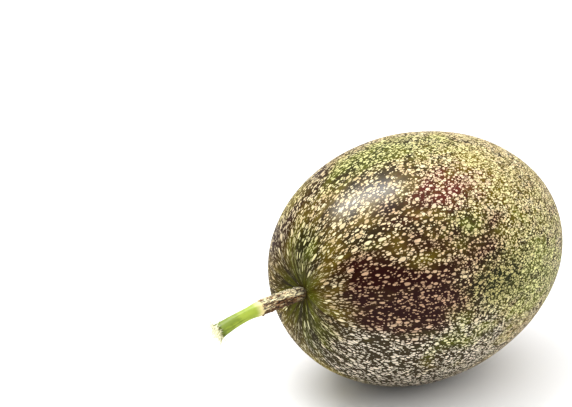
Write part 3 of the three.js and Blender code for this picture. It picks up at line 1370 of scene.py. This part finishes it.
@dataclass
class DryStalk:
    """The brown ribbed stretch of the stalk that stands in the stem pit.

    The taper of its foot has a share and a width, and its cleft a depth, a crest and a spread in degrees.
    The noises are read on a tube: a length or a place along it, and its radius.
    """

    start: Vector
    length: float = 13.0 * MM
    droop: float = 0.5 * MM
    foot_radius: float = 1.8 * MM
    end_radius: float = 2.02 * MM
    foot_taper: Pair = (0.3, 0.05)
    ribs: int = 6
    rib_depth: float = 0.06
    twist: float = 0.7
    cleft: Triple = (0.34, -150, 20)
    plate_depth: float = 0.26 * MM
    plate_tube: Pair = (3.2, 2.4)
    plate_ridges: tuple[float, float, int, float, float] = (0.9, 2.1, 4, 0.9, 2.0)
    highest_ridge: float = 2.2
    fray_depth: float = 0.3 * MM
    fray_tube: Pair = (14, 5.5)
    fray_detail: int = 3
    ragged_end: float = 0.7 * MM
    end_tube: Pair = (7.0, 3)
    relief_weights: tuple[float, float, float, float] = (0.45, -1.4, 0.55, 0.25)
    around: int = 168
    rows: int = 190
    finish: BarkFinish = field(default_factory=BarkFinish)

    @property
    def end(self) -> Vector:
        """Where the bark ends and the green stem begins."""
        return self.start + Vector((-self.length, 0, -self.droop))

    def surface(self, along: float, turn: float) -> Triple:
        """Shapes the bark at one place.

        Args:
            along: How far along the stalk the place is, 0 to 1.
            turn: Its angle round the stalk, in radians.

        Returns:
            Its distance from the middle, how far its end is drawn out, and its relief, 0 to 1.
        """
        taper, width = self.foot_taper
        plain = self.foot_radius + (self.end_radius - self.foot_radius) * along
        plain *= 1 - taper * float(bell(along, width))
        wound = turn + self.twist * along
        rib = abs(math.sin(self.ribs * wound / 2)) - 0.5
        deep, crest, spread = self.cleft
        off_crest = float(turned_from(np.array(wound), crest))
        cleft = deep * float(bell(off_crest, spread)) * math.sin(math.pi * along)
        length, radius = self.plate_tube
        ridges = noise.ridged_multi_fractal(on_tube(along * length, radius, wound), *self.plate_ridges)
        plates = min(ridges / self.highest_ridge, 1.0) - 0.5
        length, radius = self.fray_tube
        fray = noise.turbulence(on_tube(along * length, radius, wound), self.fray_detail, False) - 0.5
        lifted = self.plate_depth * plates + self.fray_depth * fray
        reach = plain * (1 + self.rib_depth * rib - cleft) + lifted
        slip = self.ragged_end * noise.noise(on_tube(*self.end_tube, turn)) * along
        forms = (rib, cleft, plates, fray)
        level = 0.5 + sum(weight * form for weight, form in zip(self.relief_weights, forms))
        return reach, slip, min(max(level, 0.0), 1.0)

    def build(self) -> Piece:
        """Models the dry stalk."""
        bend = Bend(self.start, self.end, self.droop / 4)
        return Rod("corky_stalk", bend, self.around, self.rows, self.surface).build()


@dataclass
class GreenStalk:
    """The green stretch of the stalk, with its collar and its flared torn end.

    The collar has a swelling, a place along the stalk and a width. The noises are read on a tube: a length
    or a place along it, and its radius.
    """

    start: Vector
    run: float = 12.4 * MM
    drop: float = 2.6 * MM
    sag: float = 0.35 * MM
    middle_radius: float = 1.45 * MM
    collar: Triple = (0.22, 0.08, 0.13)
    flare: float = 0.28
    ribs: int = 6
    rib_depth: float = 0.025
    twist: float = 2.0
    lump_depth: float = 0.03
    lump_tube: Pair = (2.5, 1.4)
    ragged_end: float = 0.8 * MM
    end_tube: Pair = (3.0, 2.6)
    relief_weights: Pair = (0.3, 0.2)
    around: int = 96
    rows: int = 110
    finish: StemFinish = field(default_factory=StemFinish)

    @property
    def bend(self) -> Bend:
        """The line of the green stalk."""
        return Bend(self.start, self.start + Vector((-self.run, 0, -self.drop)), self.sag)

    def surface(self, along: float, turn: float) -> Triple:
        """Shapes the stem at one place.

        Args:
            along: How far along the stalk the place is, 0 to 1.
            turn: Its angle round the stalk, in radians.

        Returns:
            Its distance from the middle, how far its end is drawn out, and its relief, 0 to 1.
        """
        swell, place, width = self.collar
        collar = swell * float(bell(along - place, width))
        rib = math.cos(self.ribs * turn + self.twist * along)
        length, radius = self.lump_tube
        lump = noise.noise(on_tube(along * length, radius, turn))
        form = 1 + collar + self.flare * along**3 + self.rib_depth * rib + self.lump_depth * lump
        slip = self.ragged_end * noise.noise(on_tube(*self.end_tube, turn)) * along
        rib_weight, lump_weight = self.relief_weights
        return self.middle_radius * form, slip, 0.5 + rib_weight * rib + lump_weight * lump

    def build(self) -> Piece:
        """Models the green stalk."""
        return Rod("fresh_stalk", self.bend, self.around, self.rows, self.surface).build()


@dataclass
class TornEnd:
    """The pith and loose fibres that stand out of the stalk's torn end; a pair is a span to draw from."""

    bend: Bend
    pith_radius: float = 1.6 * MM
    pith_height: float = 1.0 * MM
    pith_roughness: float = 0.22
    pith_grain: float = 0.5 * MM
    pith_detail: int = 4
    fibres: int = 54
    longest: Pair = (1.6 * MM, 3.9 * MM)
    torn_off: Pair = (0.6, 1.0)
    fibre_radius: float = 0.25 * MM
    thickness: Pair = (0.6, 1.5)
    root_circle: float = 0.92
    spread: float = 1.5
    spread_growth: float = 1.4
    leaning: Pair = (0.2, 1.0)
    straying: Pair = (-0.2, 0.2)
    curling: Pair = (-1.1, 1.3)
    flatness: Pair = (0.4, 1.0)
    seed: int = 20
    finish: PithFinish = field(default_factory=PithFinish)

    def build(self) -> Piece:
        """Models the pith as a rough pad, and adds a bent copy of one fibre for each draw.

        Returns:
            The pad and fibres as one piece, in place on the stalk's end.
        """
        draw = random.Random(self.seed)
        pad = self.pad()
        fibre = self.fibre()
        copies = [self.bent_copy(fibre, draw) for _ in range(self.fibres)]
        bpy.data.objects.remove(fibre)
        make_active(pad)
        for copy in copies:
            copy.select_set(True)
        bpy.ops.object.join()
        self.place(pad)
        return pad

    def pad(self) -> Piece:
        """Models the pad of pith.

        Returns:
            The pad, standing on the origin along +Z.
        """
        clear_selection()
        bpy.ops.mesh.primitive_uv_sphere_add(segments=48, ring_count=24, radius=1)
        piece = new_piece("torn_pith")
        corners = corners_of(piece) * (self.pith_radius, self.pith_radius, self.pith_height)
        for corner in corners:
            rough = noise.turbulence(Vector(corner) / self.pith_grain, self.pith_detail, False)
            corner *= 1 + self.pith_roughness * (rough - 0.5)
        set_corners(piece, corners)
        return piece

    def fibre(self) -> Piece:
        """Models one straight tapered fibre.

        Returns:
            The fibre, one unit long along +Z.
        """
        clear_selection()
        bpy.ops.mesh.primitive_cone_add(vertices=6, radius1=1, radius2=0.25, depth=1, location=(0, 0, 0.5))
        piece = new_piece("fibre_pattern")
        slice_up(piece, cuts=6)
        return piece

    def bent_copy(self, fibre: Piece, draw: random.Random) -> Piece:
        """Copies the fibre to a drawn root, with a drawn length, lean and curl.

        Args:
            fibre: The straight fibre.
            draw: The source of chance.

        Returns:
            The copy, with its own mesh.
        """
        copy = fibre.copy()
        copy.data = fibre.data.copy()
        bpy.context.scene.collection.objects.link(copy)
        length = draw.uniform(*self.longest) * draw.uniform(*self.torn_off)
        thick = self.fibre_radius * draw.uniform(*self.thickness)
        root = self.pith_radius * self.root_circle * math.sqrt(draw.random())
        turn = draw.uniform(0, 2 * math.pi)
        outward = self.spread * (root / self.pith_radius) ** self.spread_growth
        lean = outward * draw.uniform(*self.leaning) + draw.uniform(*self.straying)
        curl = draw.uniform(*self.curling)
        flat = draw.uniform(*self.flatness)
        corners = corners_of(copy)
        for corner in corners:
            share = corner[2]
            swing = lean + curl * share
            middle = Vector((math.sin(swing) * share, 0, math.cos(swing) * share)) * length
            wide, thin = corner[0] * thick, corner[1] * thick * flat
            offset = Vector((wide * math.cos(swing), thin, -wide * math.sin(swing)))
            corner[:] = Matrix.Rotation(turn, 3, "Z") @ (middle + offset + Vector((root, 0, 0)))
        set_corners(copy, corners)
        return copy

    def place(self, piece: Piece) -> None:
        """Stands the finished tuft on the end of the stalk and stores its coordinates.

        Args:
            piece: The tuft, standing on the origin along +Z.
        """
        corners = corners_of(piece)
        store(piece, "rod", corners[:, (2, 0, 1)] / MM)
        side, up = self.bend.across(1.0)
        basis = Matrix((up, side, self.bend.tangent(1.0))).transposed()
        placed = [self.bend.end + basis @ Vector(corner) for corner in corners]
        set_corners(piece, np.array(placed))
        with editing(piece):
            bpy.ops.mesh.select_all(action="SELECT")
            bpy.ops.mesh.normals_make_consistent(inside=False)
        shade(piece, sharpest=60)


@dataclass(frozen=True)
class SoftBox:
    """A rectangular light, placed from the fruit's middle, in metres and watts.

    One that is sheen_only shows as a reflection and adds nothing to the soft light.
    """

    name: str
    height: float
    leftward: float
    away: float
    width: float
    depth: float
    power: float
    sheen_only: bool = False


@dataclass
class Studio:
    """The pale floor, the soft light and the camera; a span is over the share of a direction."""

    target: Vector
    azimuth: float = -37.1
    elevation: float = 22.5
    distance: float = 0.6
    pixels_per_metre: float = 4019.4
    frame_width: float = 572
    frame_height: float = 407
    target_column: float = 417.9
    target_row: float = 256.1
    sensor: float = 36.0
    clip: Pair = (0.01, 20)
    floor_size: float = 6.0
    floor_colour: Colour = screen_colour(238, 238, 238)
    floor_roughness: float = 0.6
    floor_shine: float = 0.2
    boxes: tuple[SoftBox, ...] = (
        SoftBox("overhead", 0.9, 0.38, 0.08, 0.74, 0.12, 5.6),
        SoftBox("gleam", 0.9, 0.36, 0.11, 0.66, 0.22, 31.0, sheen_only=True),
    )
    room_colour: Colour = (1.0, 1.0, 1.0, 1.0)
    left_light: float = 0.4
    right_light: float = 1.14
    right_span: Pair = (-1.0, 0.3)
    top_light: float = 1.2
    top_span: Pair = (0.2, 0.9)
    camera_shade: float = 0.45
    camera_span: Pair = (0.4, 0.92)

    def build(self) -> None:
        """Sets the whole studio up."""
        self.lay_floor()
        self.set_camera()
        for box in self.boxes:
            self.hang(box)
        self.light_room()
        bpy.context.scene.view_settings.view_transform = "Standard"

    def directions(self) -> tuple[Vector, Vector, Vector]:
        """Works out how the camera stands.

        Returns:
            Its forward, right and upward directions.
        """
        turn, rise = math.radians(self.azimuth), math.radians(self.elevation)
        level = math.cos(rise)
        forward = Vector((-math.sin(turn) * level, math.cos(turn) * level, -math.sin(rise)))
        right = Vector((math.cos(turn), math.sin(turn), 0))
        return forward, right, right.cross(forward)

    def set_camera(self) -> None:
        """Puts the camera where the fruit has its place and size in the frame."""
        forward, right, up = self.directions()
        aside = (self.target_column - self.frame_width / 2) / self.pixels_per_metre
        below = (self.target_row - self.frame_height / 2) / self.pixels_per_metre
        data = bpy.data.cameras.new("camera")
        data.sensor_width = self.sensor
        data.lens = self.pixels_per_metre * self.distance * self.sensor / self.frame_width
        data.clip_start, data.clip_end = self.clip
        camera = bpy.data.objects.new("camera", data)
        bpy.context.scene.collection.objects.link(camera)
        camera.location = self.target - right * aside + up * below - forward * self.distance
        camera.rotation_euler = forward.to_track_quat("-Z", "Y").to_euler()
        bpy.context.scene.camera = camera

    def lay_floor(self) -> None:
        """Lays the floor that the fruit rests on."""
        clear_selection()
        bpy.ops.mesh.primitive_plane_add(size=self.floor_size)
        floor = new_piece("floor")
        material, _, surface = new_material("Pale matt floor")
        surface.inputs["Base Color"].default_value = self.floor_colour
        surface.inputs["Roughness"].default_value = self.floor_roughness
        surface.inputs["Specular IOR Level"].default_value = self.floor_shine
        floor.data.materials.append(material)

    def hang(self, box: SoftBox) -> None:
        """Hangs one light so that it faces the fruit, with its width along the picture.

        Args:
            box: The light to hang.
        """
        _, right, _ = self.directions()
        up = Vector((0, 0, 1))
        place = self.target + up * box.height - right * box.leftward + up.cross(right) * box.away
        data = bpy.data.lights.new(box.name, "AREA")
        data.shape = "RECTANGLE"
        data.size, data.size_y = box.width, box.depth
        data.energy = box.power
        light = bpy.data.objects.new(box.name, data)
        bpy.context.scene.collection.objects.link(light)
        light.visible_diffuse = not box.sheen_only
        aim = (self.target - place).normalized()
        across = (right - aim * right.dot(aim)).normalized()
        turned = Matrix((across, across.cross(aim), -aim)).transposed().to_4x4()
        light.matrix_world = Matrix.Translation(place) @ turned

    def light_room(self) -> None:
        """Fills the room with pale light, strong above and at the right and weak by the camera."""
        forward, right, _ = self.directions()
        world = bpy.data.worlds.new("room")
        world.use_nodes = True
        graph = Graph(world.node_tree)
        place = graph.add("ShaderNodeTexCoord").outputs["Generated"]
        rightward = graph.ease(graph.vector("DOT_PRODUCT", place, right), *self.right_span)
        lit = graph.math("MULTIPLY_ADD", rightward, self.right_light - self.left_light, self.left_light)
        high = graph.ease(graph.parts(place)[2], *self.top_span)
        lit = graph.math("MULTIPLY_ADD", high, self.top_light, lit)
        facing = graph.ease(graph.vector("DOT_PRODUCT", place, -forward), *self.camera_span)
        dimmed = graph.math("MULTIPLY_ADD", facing, -self.camera_shade, 1.0)
        strength = graph.math("MULTIPLY", lit, dimmed)
        graph.fill(world.node_tree.nodes["Background"], {"Color": self.room_colour, "Strength": strength})
        bpy.context.scene.world = world


def main() -> None:
    """Builds the fruit piece by piece, dresses it and sets the studio up."""
    logging.basicConfig(level=logging.INFO, format="%(name)s: %(message)s")
    flecks, grain = FleckScatter().group(), grain_group()
    rind = Rind()
    stand_in(rind.build(), "fruit", rind.finish.material(flecks))
    dry = DryStalk(Vector((rind.stem_pole - PIT_GAP, 0, rind.axis_height)))
    stand_in(dry.build(), "dry_stalk", dry.finish.material(grain))
    green = GreenStalk(dry.end + Vector((JOINT_OVERLAP, 0, 0)))
    stand_in(green.build(), "green_stalk", green.finish.material(grain))
    torn = TornEnd(green.bend)
    stand_in(torn.build(), "torn_end", torn.finish.material(grain))
    Studio(Vector((0, 0, rind.axis_height))).build()


if __name__ == "__main__":
    main()
